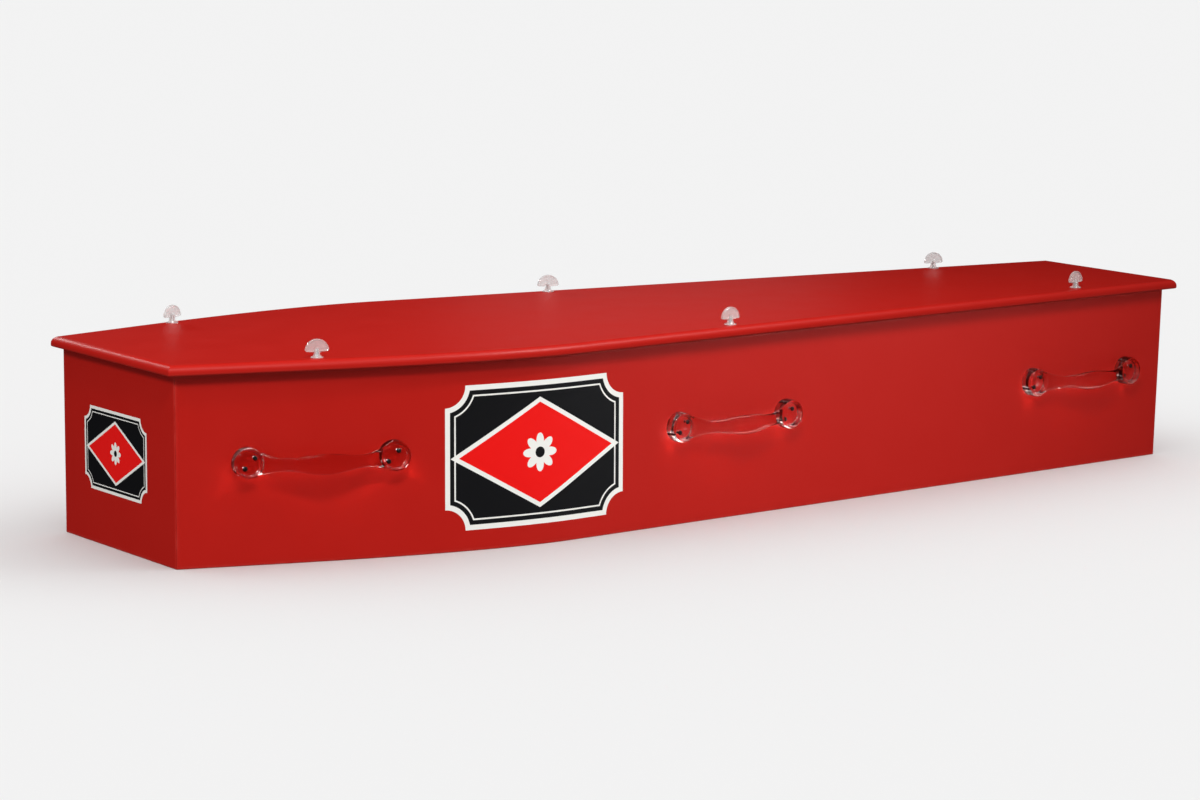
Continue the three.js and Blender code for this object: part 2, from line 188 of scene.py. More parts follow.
def surface_ripple():
    """Fine orange peel over broad waves of the surface, with a matching change of gloss."""
    group, given = new_group(
        "surface ripple",
        {"Peel Scale": ("NodeSocketFloat", 420.0), "Wave Scale": ("NodeSocketFloat", 16.0),
         "Wave Share": ("NodeSocketFloat", 0.5), "Roughness": ("NodeSocketFloat", 0.4),
         "Gloss Change": ("NodeSocketFloat", 0.06)},
        {"Height": "NodeSocketFloat", "Roughness": "NodeSocketFloat", "Tone": "NodeSocketFloat"})
    place = add_node(group, "ShaderNodeTexCoord").outputs["Object"]
    peel = add_node(group, "ShaderNodeTexNoise",
                    {"Vector": place, "Scale": given["Peel Scale"], "Detail": 2.0})
    wave = add_node(group, "ShaderNodeTexNoise",
                    {"Vector": place, "Scale": given["Wave Scale"], "Detail": 3.0})
    raised = maths(group, "MULTIPLY", wave.outputs[0], given["Wave Share"])
    height = maths(group, "ADD", peel.outputs[0], raised)
    change = maths(group, "MULTIPLY", maths(group, "SUBTRACT", wave.outputs[0], 0.5), given["Gloss Change"])
    fine = maths(group, "MULTIPLY", maths(group, "SUBTRACT", peel.outputs[0], 0.5), given["Gloss Change"])
    rough = maths(group, "ADD", given["Roughness"], maths(group, "ADD", change, fine))
    close_group(group, Height=height, Roughness=rough, Tone=wave.outputs[0])
    return group


def edge_rub_and_highlight():
    """Paint drawn thin along the arrises, with a painted lighter highlight on them, broken up by noise."""
    group, given = new_group(
        "edge rub and painted highlight",
        {"Arris": ("NodeSocketFloat", 0.0), "Amount": ("NodeSocketFloat", 0.5)},
        {"Mask": "NodeSocketFloat"})
    place = add_node(group, "ShaderNodeTexCoord").outputs["Object"]
    patchy = add_node(group, "ShaderNodeTexNoise", {"Vector": place, "Scale": 38.0, "Detail": 4.0})
    broken = add_node(group, "ShaderNodeMapRange",
                      {"Value": patchy.outputs[0], 1: 0.35, 2: 0.65, 3: 0.35, 4: 1.0})
    # Mask of the lighter arris red: thinned paint and painted edge highlight.
    sharp = maths(group, "POWER", given["Arris"], 1.6)
    rub_and_highlight_mask = maths(group, "MULTIPLY", maths(group, "MULTIPLY", sharp, broken.outputs[0]), given["Amount"])
    close_group(group, Mask=rub_and_highlight_mask)
    return group


ripple_group = surface_ripple()
rub_and_highlight_group = edge_rub_and_highlight()


def red_paint(name, arris_rub_and_highlight=0.5):
    """Satin red paint: orange peel, a little change of tone, paint drawn thin on the arrises and a painted
    highlight there.
    """
    material = bpy.data.materials.new(name)
    material.use_nodes = True
    tree = material.node_tree
    shader = tree.nodes["Principled BSDF"]
    shader.inputs["Specular IOR Level"].default_value = PAINT_GLOSS
    ripple = add_node(tree, "ShaderNodeGroup", node_tree=ripple_group)
    ripple.inputs["Roughness"].default_value = PAINT_ROUGHNESS
    rub_and_highlight_node = add_node(tree, "ShaderNodeGroup", node_tree=rub_and_highlight_group)
    rub_and_highlight_node.inputs["Amount"].default_value = arris_rub_and_highlight
    arris = add_node(tree, "ShaderNodeAttribute", attribute_name="arris")
    tree.links.new(arris.outputs["Fac"], rub_and_highlight_node.inputs["Arris"])
    body = mix_colours(tree, ripple.outputs["Tone"], PAINT_RED_DEEP, PAINT_RED)
    # The arrises are painted lighter: paint drawn thin, and a painted edge highlight.
    colour = mix_colours(tree, rub_and_highlight_node.outputs["Mask"], body, PAINT_RED_RUB_AND_HIGHLIGHT)
    bump = add_node(tree, "ShaderNodeBump", {"Strength": 0.22, "Distance": 0.0005,
                                             "Height": ripple.outputs["Height"]})
    tree.links.new(colour, shader.inputs["Base Color"])
    tree.links.new(ripple.outputs["Roughness"], shader.inputs["Roughness"])
    tree.links.new(bump.outputs[0], shader.inputs["Normal"])
    return material, tree, shader, colour


paint = red_paint("satin red paint")[0]
base_out = -BOARD - GAP


def base_ring(inset, z):
    foot_u = LENGTH + FOOT_RAKE * z / WALL_HEIGHT - (BOARD + GAP) / math.cos(lean)
    return plan_ring(base_out - inset, BOARD + GAP + inset, foot_u - inset, z)


base_levels = [(BASE_SUPPORT, 0), (BASE_EASE, 0), (0, BASE_EASE),
               (0, BOARD - BASE_EASE), (BASE_EASE, BOARD), (BASE_SUPPORT, BOARD)]
base_rings = [base_ring(inset, z) for inset, z in base_levels]
base_arris = np.repeat([0, 1, 1, 1, 1, 0], len(base_rings[0]))
base = piece_from_rings("painted_base_board", base_rings, arris=base_arris)
base.data.materials.append(paint)
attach(base, "root")
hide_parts("base_board")


# Side boards: one board a side, bent round at the shoulder, painted, with a printed panel on the shoulder.
# They are mitred to the end boards, and their arrises are eased by hand before painting.
EASE = 0.0014
SUPPORT = 0.004
EASE_STEPS = 3
# Share of the lighter arris red, thinned paint and painted highlight, where a mitred corner meets the face.
MITRE_ARRIS = 0.6
PANEL_ALONG = 0.570
PANEL_Z = 0.141
PANEL_SIZE = (0.318, 0.219)
PRINT_WHITE = (0.80, 0.79, 0.75, 1)
PRINT_BLACK = (0.006, 0.006, 0.007, 1)
PRINT_RED = (0.78, 0.004, 0.003, 1)


def eased_section():
    """A wall board's upright section as rows of depth behind the outer face, height and arris share."""
    rows = []
    turns = [math.pi / 2 * i / EASE_STEPS for i in range(EASE_STEPS + 1)]
    for at_depth, at_z, into_depth, into_z, forward in (
            (0, 0, 1, 1, True), (BOARD, 0, -1, 1, False),
            (BOARD, WALL_HEIGHT, -1, -1, True), (0, WALL_HEIGHT, 1, -1, False)):
        run = [(at_depth, at_z + into_z * (EASE + SUPPORT), 0)]
        for turn in turns:
            run.append((at_depth + into_depth * EASE * (1 - math.cos(turn)),
                        at_z + into_z * EASE * (1 - math.sin(turn)), 1))
        run.append((at_depth + into_depth * (EASE + SUPPORT), at_z, 0))
        rows += run if forward else run[::-1]
    return np.array(rows)


section = eased_section()
section_depth, section_z, section_arris = section.T
end_turns = [math.pi / 2 * i / EASE_STEPS for i in range(EASE_STEPS, -1, -1)]


def mitre(depth, z, at_foot):
    """Plan points where a side board meets an end board, at depths behind the outer faces."""
    way, start = (footward, bend_to) if at_foot else (headward, bend_from)
    inward = np.array([way[1], -way[0]])
    base_points = start + depth[:, None] * inward
    u = LENGTH + FOOT_RAKE * z / WALL_HEIGHT - depth / math.cos(lean) if at_foot else depth
    return base_points + way * ((u - base_points[:, 0]) / way[0])[:, None]


def end_stations():
    """Rings by a mitred end: how far back along the board, the least depth, and the arris share."""
    rows = []
    for turn in end_turns:
        share = 1.0 if turn > 0 else MITRE_ARRIS
        rows.append((GAP / 2 + EASE * (1 - math.sin(turn)), EASE * (1 - math.cos(turn)), share))
    return rows + [(GAP / 2 + EASE + SUPPORT, 0, 0)]


def side_board(name, sign):
    """A side board swept from head to foot, keeping each point's place along the board for the print."""
    rings, places, arris = [], [], []
    outer = bend_line(0)
    normals = outer - bend_line(-1.0)
    steps = np.linalg.norm(np.diff(outer, axis=0), axis=1)
    bend_along = bend_from[0] / headward[0] + np.concatenate([[0], np.cumsum(steps)])

    def add(points, along, share):
        rings.append(np.column_stack([HEAD_X + points[:, 0], sign * points[:, 1], section_z]))
        places.append(np.column_stack([along, section_z, section_depth]))
        arris.append(np.maximum(section_arris, share * (section_depth < EASE)))

    def add_straight(points, share):
        along = np.where(points[:, 0] < bend_from[0], points[:, 0] / headward[0],
                         bend_along[-1] + (points[:, 0] - bend_to[0]) / footward[0])
        add(points, along, share)

    for back, sink, share in end_stations():
        depth = np.maximum(section_depth, sink)
        add_straight(mitre(depth, section_z, False) + headward * back, share)
    for i in range(BEND_STEPS + 1):
        add(outer[i] - section_depth[:, None] * normals[i], np.full(len(section), bend_along[i]), 0)
    for back, sink, share in reversed(end_stations()):
        depth = np.maximum(section_depth, sink)
        add_straight(mitre(depth, section_z, True) - footward * back, share)
    return piece_from_rings(name, rings, place=np.vstack(places), arris=np.concatenate(arris))


def panel_print():
    """A scooped panel with a pale frame and line, a lozenge and a rosette, drawn by distances."""
    group, given = new_group(
        "panel print",
        {"Across": ("NodeSocketFloat", 0.0), "Up": ("NodeSocketFloat", 0.0),
         "Depth": ("NodeSocketFloat", 0.0),
         "Half Width": ("NodeSocketFloat", 0.16), "Half Height": ("NodeSocketFloat", 0.11)},
        {"Color": "NodeSocketColor", "Mask": "NodeSocketFloat"})
    scoop, frame_wide, line_at, line_wide = 0.30, 0.072, 0.135, 0.022
    lozenge_x, lozenge_y, lozenge_edge = 0.86, 0.70, 0.10
    rosette_r, petal_share, petals, eye_r = 0.27, 0.42, 8.0, 0.075
    x = maths(group, "DIVIDE", given["Across"], given["Half Height"])
    y = maths(group, "DIVIDE", given["Up"], given["Half Height"])
    shape = maths(group, "DIVIDE", given["Half Width"], given["Half Height"])
    past_x = maths(group, "SUBTRACT", maths(group, "ABSOLUTE", x), shape)
    past_y = maths(group, "SUBTRACT", maths(group, "ABSOLUTE", y), 1.0)

    def length(across, up):
        squares = [maths(group, "MULTIPLY", part, part) for part in (across, up)]
        return maths(group, "SQRT", maths(group, "ADD", *squares))

    from_corner = maths(group, "SUBTRACT", scoop, length(past_x, past_y))
    edge = maths(group, "MAXIMUM", maths(group, "MAXIMUM", past_x, past_y), from_corner)
    tall = maths(group, "DIVIDE", maths(group, "ABSOLUTE", y), lozenge_y)
    wide = maths(group, "DIVIDE", maths(group, "ABSOLUTE", x), maths(group, "MULTIPLY", shape, lozenge_x))
    lozenge = maths(group, "SUBTRACT", maths(group, "ADD", tall, wide), 1.0)
    radius = length(x, y)
    angle = maths(group, "MULTIPLY", maths(group, "ARCTAN2", y, x), petals / 2)
    petal = maths(group, "ABSOLUTE", maths(group, "COSINE", angle))
    swell = maths(group, "MULTIPLY", petal, rosette_r * petal_share)
    reach = maths(group, "ADD", rosette_r * (1 - petal_share), swell)

    def inside(distance, limit):
        return maths(group, "LESS_THAN", distance, limit)

    colour = mix_colours(group, inside(edge, -frame_wide), PRINT_WHITE, PRINT_BLACK)
    colour = mix_colours(group, inside(edge, -line_at), colour, PRINT_WHITE)
    colour = mix_colours(group, inside(edge, -line_at - line_wide), colour, PRINT_BLACK)
    colour = mix_colours(group, inside(lozenge, lozenge_edge), colour, PRINT_WHITE)
    colour = mix_colours(group, inside(lozenge, 0.0), colour, PRINT_RED)
    colour = mix_colours(group, inside(maths(group, "SUBTRACT", radius, reach), 0.0), colour, PRINT_WHITE)
    colour = mix_colours(group, inside(radius, eye_r), colour, PRINT_BLACK)
    on_face = maths(group, "LESS_THAN", given["Depth"], EASE / 4)
    close_group(group, Color=colour, Mask=maths(group, "MULTIPLY", inside(edge, 0.0), on_face))
    return group


print_group = panel_print()


def printed_paint(name, middle, size):
    """The board's red paint with the printed panel laid on its outer face."""
    material, tree, shader, colour = red_paint(name)
    place = add_node(tree, "ShaderNodeAttribute", attribute_name="place")
    parts = add_node(tree, "ShaderNodeSeparateXYZ", {0: place.outputs["Vector"]}).outputs
    panel = add_node(tree, "ShaderNodeGroup", node_tree=print_group)
    panel.inputs["Half Width"].default_value = size[0] / 2
    panel.inputs["Half Height"].default_value = size[1] / 2
    tree.links.new(maths(tree, "SUBTRACT", parts[0], middle[0]), panel.inputs["Across"])
    tree.links.new(maths(tree, "SUBTRACT", parts[1], middle[1]), panel.inputs["Up"])
    tree.links.new(parts[2], panel.inputs["Depth"])
    tree.links.new(mix_colours(tree, panel.outputs["Mask"], colour, panel.outputs["Color"]),
                   shader.inputs["Base Color"])
    return material


side_paint = printed_paint("side board paint with panel", (PANEL_ALONG, PANEL_Z), PANEL_SIZE)
for side, sign in (("right", -1), ("left", 1)):
    board = side_board(f"painted_side_board_{side}", sign)
    board.data.materials.append(side_paint)
    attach(board, "root")
    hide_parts(f"side_board_{side}")


# End boards: short boards mitred to the sides, the head board upright and the foot board leaning out.
# Both are painted; the head board carries a smaller printed panel, the foot board is plain.
HEAD_PANEL_MIDDLE = (0.010, 0.145)
HEAD_PANEL_SIZE = (0.203, 0.127)


def end_board(name, at_foot):
    """An end board swept from side to side, keeping each point's place on the board for the print."""
    rings, places, arris = [], [], []
    for sign in (-1, 1):
        stations = end_stations()
        for back, sink, share in (stations if sign < 0 else reversed(stations)):
            depth = np.maximum(section_depth, sink)
            points = mitre(depth, section_z, at_foot)
            y = sign * (points[:, 1] - back)
            rings.append(np.column_stack([HEAD_X + points[:, 0], y, section_z]))
            places.append(np.column_stack([y, section_z, section_depth]))
            arris.append(np.maximum(section_arris, share * (section_depth < EASE)))
    return piece_from_rings(name, rings, place=np.vstack(places), arris=np.concatenate(arris))


head_paint = printed_paint("head board paint with panel", HEAD_PANEL_MIDDLE, HEAD_PANEL_SIZE)
for end, at_foot, finish in (("head", False, head_paint), ("foot", True, paint)):
    board = end_board(f"painted_{end}_board", at_foot)
    board.data.materials.append(finish)
    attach(board, "root")
    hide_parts(f"{end}_board")


# Handles: clear plastic mouldings, three to a side, each an arched bar between two dished round feet.
# The bar is widest in its middle and at its roots, and each foot is screwed through its dish to the board.
HANDLE_PLACES = {"head": 0.217, "middle": 0.950, "foot": 1.727}
HANDLE_Z = 0.154
HANDLE_FEET = 0.223
FOOT_R = 0.0235
FOOT_RISE = 0.020
FOOT_FLOOR = 0.012
DISH_R = 0.0195
DISH_FLOOR_R = 0.017
BAR_WIDTH_MID = 0.031
BAR_WIDTH_NECK = 0.020
BAR_WIDTH_FOOT = 0.036
BAR_NECK_AT = 0.059
BAR_END_AT = 0.097
BAR_THICK = 0.0065
BAR_STAND_OFF = 0.037
BAR_ROOT = 0.0155
BAR_DROP = 0.003
ARCH_POWER = 0.85
HANDLE_SCREW_PAIRS = 0.218
HANDLE_SCREW_DIAGONAL = 0.0077
SHANK_R = 0.0017
FOOT_EDGE = [(-0.0008, 0), (0, 0.0015), (-0.0006, FOOT_RISE - 0.0022),
             (-0.0012, FOOT_RISE - 0.0008), (-0.0024, FOOT_RISE)]
DISH_FLARE = 0.0015
CUT_PAST = 0.024
HOLE_FROM = -0.005
HOLE_PAST = 0.002
BAR_RINGS = 65
SLOPE_STEP = 0.001
FOOT_SEGMENTS = 56
HOLE_SEGMENTS = 16
MOULD_VOXEL = 0.001
MOULD_SMOOTHING = 6
# Transmission colour: a slight red tint, darkened overall as painted shade under the feet and bar.
PLASTIC_TINT_AND_SHADE = (0.82, 0.62, 0.60, 1)
PLASTIC_GLOSS = (0.50, 0.50, 0.50, 1)
LIGHT_PASSED = (0.05, 0.03, 0.03, 1)

side_line = plan_line(0, 0, LENGTH)
side_lengths = np.concatenate([[0], np.cumsum(np.linalg.norm(np.diff(side_line, axis=0), axis=1))])


def on_side(along):
    return np.array([np.interp(along, side_lengths, side_line[:, k]) for k in (0, 1)])


def side_frame(along, sign, half_span):
    """Axes on a side's outer face: x to the right seen from outside, y up, z straight out."""
    start, end = on_side(along - half_span), on_side(along + half_span)
    way = (end - start) / np.linalg.norm(end - start)
    point = (start + end) / 2
    right = Vector((-sign * way[0], -way[1], 0))
    away = Vector((-way[1], sign * way[0], 0))
    axes = Matrix((right, Vector((0, 0, 1)), away)).transposed().to_4x4()
    axes.translation = Vector((HEAD_X + point[0], sign * point[1], 0))
    return axes


def handle_frame(along, sign):
    """A handle's place, raised until its flat feet clear the bent wall."""
    axes = side_frame(along, sign, HANDLE_FEET / 2)
    seat = 0.0
    for centre in (-HANDLE_FEET / 2, HANDLE_FEET / 2):
        for share in np.linspace(-1, 1, 9):
            u, v = on_side(along + centre + FOOT_R * share)
            local = axes.inverted() @ Vector((HEAD_X + u, sign * v, 0))
            seat = max(seat, local.z)
    return axes @ Matrix.Translation((0, HANDLE_Z, seat + GAP))


def turned_rings(profile, segments, at=(0, 0)):
    """Rings of a body of revolution about Z, from (radius, height) pairs."""
    angles = np.linspace(0, 2 * math.pi, segments, endpoint=False)
    return [np.column_stack([at[0] + r * np.cos(angles), at[1] + r * np.sin(angles), np.full(segments, z)])
            for r, z in profile]


def bar_arch(x):
    return max(0.0, math.cos(math.pi / 2 * min(1, abs(x) / BAR_END_AT))) ** ARCH_POWER


def bar_height(x):
    return BAR_ROOT + (BAR_STAND_OFF - BAR_ROOT) * bar_arch(x)


def bar_width(x):
    if abs(x) <= BAR_NECK_AT:
        wave = (1 + math.cos(math.pi * x / BAR_NECK_AT)) / 2
        return BAR_WIDTH_NECK + (BAR_WIDTH_MID - BAR_WIDTH_NECK) * wave
    t = (abs(x) - BAR_NECK_AT) / (BAR_END_AT - BAR_NECK_AT)
    return BAR_WIDTH_NECK + (BAR_WIDTH_FOOT - BAR_WIDTH_NECK) * t * t


def bar_ring(x, edge_steps=7):
    """The bar's flat section with round edges, square to the arch."""
    half = BAR_THICK / 2
    flat = bar_width(x) / 2 - half
    rise = bar_height(x + SLOPE_STEP / 2) - bar_height(x - SLOPE_STEP / 2)
    slope = math.atan2(rise, SLOPE_STEP)
    points = []
    for end in (1, -1):
        for turn in np.linspace(-math.pi / 2, math.pi / 2, edge_steps):
            across = end * (flat + half * math.cos(turn))
            through = end * half * math.sin(turn)
            points.append((x - through * math.sin(slope), across - BAR_DROP * bar_arch(x),
                           bar_height(x) + through * math.cos(slope)))
    return np.array(points)


def moulded(name, body, tools, voxel, smoothing):
    """One moulding: joins and cuts the tool bodies, then softens every edge as a mould does."""
    for tool, operation in tools:
        body.modifiers.new("cut", "BOOLEAN").object = tool
        body.modifiers[-1].operation = operation
        body.modifiers[-1].solver = "EXACT"
    if voxel:
        skin = body.modifiers.new("skin", "REMESH")
        skin.mode = "VOXEL"
        skin.voxel_size = voxel
        soften = body.modifiers.new("soften", "SMOOTH")
        soften.factor = 0.5
        soften.iterations = smoothing
    graph = bpy.context.evaluated_depsgraph_get()
    mesh = bpy.data.meshes.new_from_object(body.evaluated_get(graph))
    mesh.name = name
    for spent in [body] + [tool for tool, _ in tools]:
        bpy.data.objects.remove(spent)
    mesh.shade_smooth()
    return mesh


handle_screw_spots = []
for centre in (-HANDLE_SCREW_PAIRS / 2, HANDLE_SCREW_PAIRS / 2):
    for sense in (-1, 1):
        handle_screw_spots.append((centre + sense * HANDLE_SCREW_DIAGONAL, sense * HANDLE_SCREW_DIAGONAL))


def handle_mesh():
    """A handle: bar and feet joined, then the dishes and the screw holes cut."""
    boss_profile = [(FOOT_R + out, z) for out, z in FOOT_EDGE]
    dish_profile = [(DISH_FLOOR_R, FOOT_FLOOR), (DISH_R, FOOT_RISE),
                    (DISH_R + DISH_FLARE, FOOT_RISE + CUT_PAST)]
    hole_profile = [(SHANK_R + GAP, HOLE_FROM), (SHANK_R + GAP, FOOT_FLOOR + HOLE_PAST)]
    bar = piece_from_rings("bar", [bar_ring(x) for x in np.linspace(-BAR_END_AT, BAR_END_AT, BAR_RINGS)])
    feet = [(-HANDLE_FEET / 2, 0), (HANDLE_FEET / 2, 0)]
    tools = []
    for part, profile, segments, spots, operation in (
            ("boss", boss_profile, FOOT_SEGMENTS, feet, "UNION"),
            ("dish", dish_profile, FOOT_SEGMENTS, feet, "DIFFERENCE"),
            ("hole", hole_profile, HOLE_SEGMENTS, handle_screw_spots, "DIFFERENCE")):
        for spot in spots:
            tools.append((piece_from_rings(part, turned_rings(profile, segments, spot)), operation))
    return moulded("handle moulding", bar, tools, MOULD_VOXEL, MOULD_SMOOTHING)


def clear_plastic():
    """Clear polished plastic, slightly red and darkened overall as painted shade of the board behind, with
    faint flow ripple; its shadows pass a little light.
    """
    material = bpy.data.materials.new("clear moulded plastic")
    material.use_nodes = True
    tree = material.node_tree
    shader = tree.nodes["Principled BSDF"]
    # Slight red tint, darkened as painted shade.
    shader.inputs["Base Color"].default_value = PLASTIC_TINT_AND_SHADE
    shader.inputs["IOR"].default_value = 1.42
    shader.inputs["Specular Tint"].default_value = PLASTIC_GLOSS
    shader.inputs["Transmission Weight"].default_value = 1.0
    ripple = add_node(tree, "ShaderNodeGroup", node_tree=ripple_group)
    ripple.inputs["Peel Scale"].default_value = 700.0
    ripple.inputs["Wave Scale"].default_value = 45.0
    ripple.inputs["Wave Share"].default_value = 3.0
    ripple.inputs["Roughness"].default_value = 0.03
    ripple.inputs["Gloss Change"].default_value = 0.04
    bump = add_node(tree, "ShaderNodeBump", {"Strength": 0.06, "Distance": 0.0004,
                                             "Height": ripple.outputs["Height"]})
    tree.links.new(ripple.outputs["Roughness"], shader.inputs["Roughness"])
    tree.links.new(bump.outputs[0], shader.inputs["Normal"])
    passed = add_node(tree, "ShaderNodeBsdfTransparent", {"Color": LIGHT_PASSED})
    rays = add_node(tree, "ShaderNodeLightPath")
    shade = add_node(tree, "ShaderNodeMixShader",
                     {0: rays.outputs["Is Shadow Ray"], 1: shader.outputs[0], 2: passed.outputs[0]})
    tree.links.new(shade.outputs[0], tree.nodes["Material Output"].inputs["Surface"])
    return material


handle_plastic = clear_plastic()
handle_shape = handle_mesh()
handle_shape.materials.clear()
handle_shape.materials.append(handle_plastic)
for side, sign in (("right", -1), ("left", 1)):
    for end, along in HANDLE_PLACES.items():
        handle = bpy.data.objects.new(f"clear_handle_{side}_{end}", handle_shape)
        bpy.context.scene.collection.objects.link(handle)
        handle.matrix_world = handle_frame(along, sign)
        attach(handle, "root")
        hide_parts(f"handle_{side}_{end}")


# Handle screws: black round-headed steel screws with a cross recess, two to a handle foot on a diagonal.
# They pass through the clear foot into the board.
SCREW_HEAD_R = 0.0037
SCREW_HEAD_H = 0.0024
SCREW_LENGTH = 0.012
RECESS_LONG = 0.0042
RECESS_WIDE = 0.0011
RECESS_DEEP = 0.0013
RECESS_FLOOR_SHARE = 0.55
RECESS_MOUTH_SHARE = 1.15
RECESS_PAST = 0.001
SCREW_POINT_R = 0.0004
SCREW_POINT = 0.0015
SCREW_HEAD_EDGE = 0.0004
SCREW_DOME_SHARE = 0.92
SCREW_DOME_STEPS = 8
SCREW_SEGMENTS = 32
SCREW_TURN_DEG = 37
SCREW_SHARP_DEG = 35
SCREW_BLACK = (0.005, 0.005, 0.005, 1)
SCREW_GLOSS = 0.12


def handle_screw_mesh():
    """A pointed shank and a domed head, with two crossed tapered slots cut in it."""
    low = FOOT_FLOOR + GAP
    edge = low + SCREW_HEAD_EDGE
    profile = [(SCREW_POINT_R, -SCREW_LENGTH), (SHANK_R, -SCREW_LENGTH + SCREW_POINT), (SHANK_R, low),
               (SCREW_HEAD_R, low)]
    for turn in np.linspace(0, math.pi / 2 * SCREW_DOME_SHARE, SCREW_DOME_STEPS):
        dome_z = edge + (SCREW_HEAD_H - SCREW_HEAD_EDGE) * math.sin(turn)
        profile.append((SCREW_HEAD_R * math.cos(turn), dome_z))
    screw = piece_from_rings("screw", turned_rings(profile, SCREW_SEGMENTS))
    tools = []
    top = low + SCREW_HEAD_H
    for long, wide in ((RECESS_LONG, RECESS_WIDE), (RECESS_WIDE, RECESS_LONG)):
        rings = []
        for z, share in ((top - RECESS_DEEP, RECESS_FLOOR_SHARE), (top + RECESS_PAST, RECESS_MOUTH_SHARE)):
            x, y = long / 2 * share, wide / 2 * share
            rings.append(np.array([(-x, -y, z), (x, -y, z), (x, y, z), (-x, y, z)]))
        tools.append((piece_from_rings("recess", rings), "DIFFERENCE"))
    mesh = moulded("black screw", screw, tools, None, 0)
    mesh.set_sharp_from_angle(angle=math.radians(SCREW_SHARP_DEG))
    return mesh


def plated_steel(name, colour, metallic, roughness):
    """Plated or blackened steel, fine drawn grain and patchy gloss."""
    material = bpy.data.materials.new(name)
    material.use_nodes = True
    tree = material.node_tree
    shader = tree.nodes["Principled BSDF"]
    shader.inputs["Metallic"].default_value = metallic
    ripple = add_node(tree, "ShaderNodeGroup", node_tree=ripple_group)
    ripple.inputs["Peel Scale"].default_value = 1800.0
    ripple.inputs["Wave Scale"].default_value = 250.0
    ripple.inputs["Roughness"].default_value = roughness
    ripple.inputs["Gloss Change"].default_value = 0.2
    dark = tuple(c * 0.7 for c in colour[:3]) + (1,)
    tree.links.new(mix_colours(tree, ripple.outputs["Tone"], dark, colour), shader.inputs["Base Color"])
    bump = add_node(tree, "ShaderNodeBump", {"Strength": 0.15, "Distance": 0.0001,
                                             "Height": ripple.outputs["Height"]})
    tree.links.new(ripple.outputs["Roughness"], shader.inputs["Roughness"])
    tree.links.new(bump.outputs[0], shader.inputs["Normal"])
    return material


black_steel = plated_steel("black screw steel", SCREW_BLACK, 0.0, 0.50)
black_shader = black_steel.node_tree.nodes["Principled BSDF"]
black_shader.inputs["Specular IOR Level"].default_value = SCREW_GLOSS
screw_shape = handle_screw_mesh()
screw_shape.materials.clear()
screw_shape.materials.append(black_steel)
for side, sign in (("right", -1), ("left", 1)):
    for end, along in HANDLE_PLACES.items():
        for number, (x, y) in enumerate(handle_screw_spots, 1):
            screw = bpy.data.objects.new(f"black_screw_{side}_{end}_{number}", screw_shape)
            bpy.context.scene.collection.objects.link(screw)
            turn = Matrix.Rotation(math.radians(SCREW_TURN_DEG * number), 4, "Z")
            screw.matrix_world = handle_frame(along, sign) @ Matrix.Translation((x, y, 0)) @ turn
            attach(screw, "root")
            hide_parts(f"handle_screw_{side}_{end}_{number}")


# Lid: one flat painted board that overhangs the box all round, its upper edge rounded over by a router.
# It rests on the walls, is held by the lid screws, and lifts off.
LID_THICK = 0.016
OVERHANG = 0.015
OVERHANG_FOOT = 0.020
ROUND_OVER = 0.011
ROUND_STEPS = 10
LOWER_EASE = 0.003
# Share of the lighter arris red, thinned paint and painted highlight, on the lid's lower ease.
LOWER_ARRIS = 0.4
LOWER_STEPS = 4
LID_UNDER = WALL_HEIGHT + GAP
LID_TOP = LID_UNDER + LID_THICK


def lid_ring(inset, z):
    out = OVERHANG - inset
    return plan_ring(out, -out, LENGTH + FOOT_RAKE + OVERHANG_FOOT - inset, z)


lid_levels = [(LOWER_EASE + SUPPORT, LID_UNDER, 0)]
for turn in np.linspace(0, math.pi / 2, LOWER_STEPS + 1):
    lid_levels.append((LOWER_EASE * (1 - math.sin(turn)), LID_UNDER + LOWER_EASE * (1 - math.cos(turn)),
                       LOWER_ARRIS))
for turn in np.linspace(0, math.pi / 2, ROUND_STEPS + 1):
    lid_levels.append((ROUND_OVER * (1 - math.cos(turn)), LID_TOP - ROUND_OVER * (1 - math.sin(turn)), 0))
lid_levels.append((ROUND_OVER + SUPPORT, LID_TOP, 0))
lid_rings = [lid_ring(inset, z) for inset, z, _ in lid_levels]
lid_arris = np.repeat([share for _, _, share in lid_levels], len(lid_rings[0]))
lid = piece_from_rings("painted_lid", lid_rings, arris=lid_arris)
lid.data.materials.append(paint)
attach(lid, "root")
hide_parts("lid")


# Lid screws: translucent plastic thumb screws, each a half-disc fan with a thick rim, a stem and flared foot.
# They screw down on the lid over the middle of the wall's upper edge, each stopped at its own turn.
LID_SCREW_PLACES = {
    "right": {"head": (0.215, -9), "middle": (0.953, 9), "foot": (1.726, 17)},
    "left": {"head": (0.219, 21), "middle": (0.941, -14), "foot": (1.698, -5)},
}
SCREW_FOOT_R = 0.0095
SCREW_FOOT_EDGE = 0.0013
FLARE_FROM_DEG = 10
FLARE_STEPS = 7
SCREW_STEM_R = 0.0046
SCREW_STEM_FROM = 0.0065
SCREW_STEM_TO = 0.013
SCREW_TIP = 0.017
SCREW_TIP_R = 0.0006
FAN_R = 0.0185
FAN_CENTRE = 0.0095
FAN_RIM = 0.002
FAN_THICK = 0.0032
FAN_RIM_THICK = 0.0046
FAN_ROOT_HALF = 0.003
FAN_CORNER_IN = 0.0016
FAN_CORNER_UP = 0.001
FAN_DROP = 0.001
FAN_FROM_DEG = 6
FAN_STEPS = 41
FIELD_PAST = 0.002
BORE_FROM = -0.005
STEM_SEGMENTS = 40
BORE_SEGMENTS = 32
STUD_R = 0.0025
STUD_ABOVE = 0.0125
STUD_INTO_WALL = 0.018
AIM_HALF_SPAN = 0.001
SCREW_VOXEL = 0.00036
SCREW_SMOOTHING = 4
MILK_DARK = (0.66, 0.64, 0.63, 1)
MILK_PALE = (0.80, 0.78, 0.77, 1)
MILK_COVER = 0.46


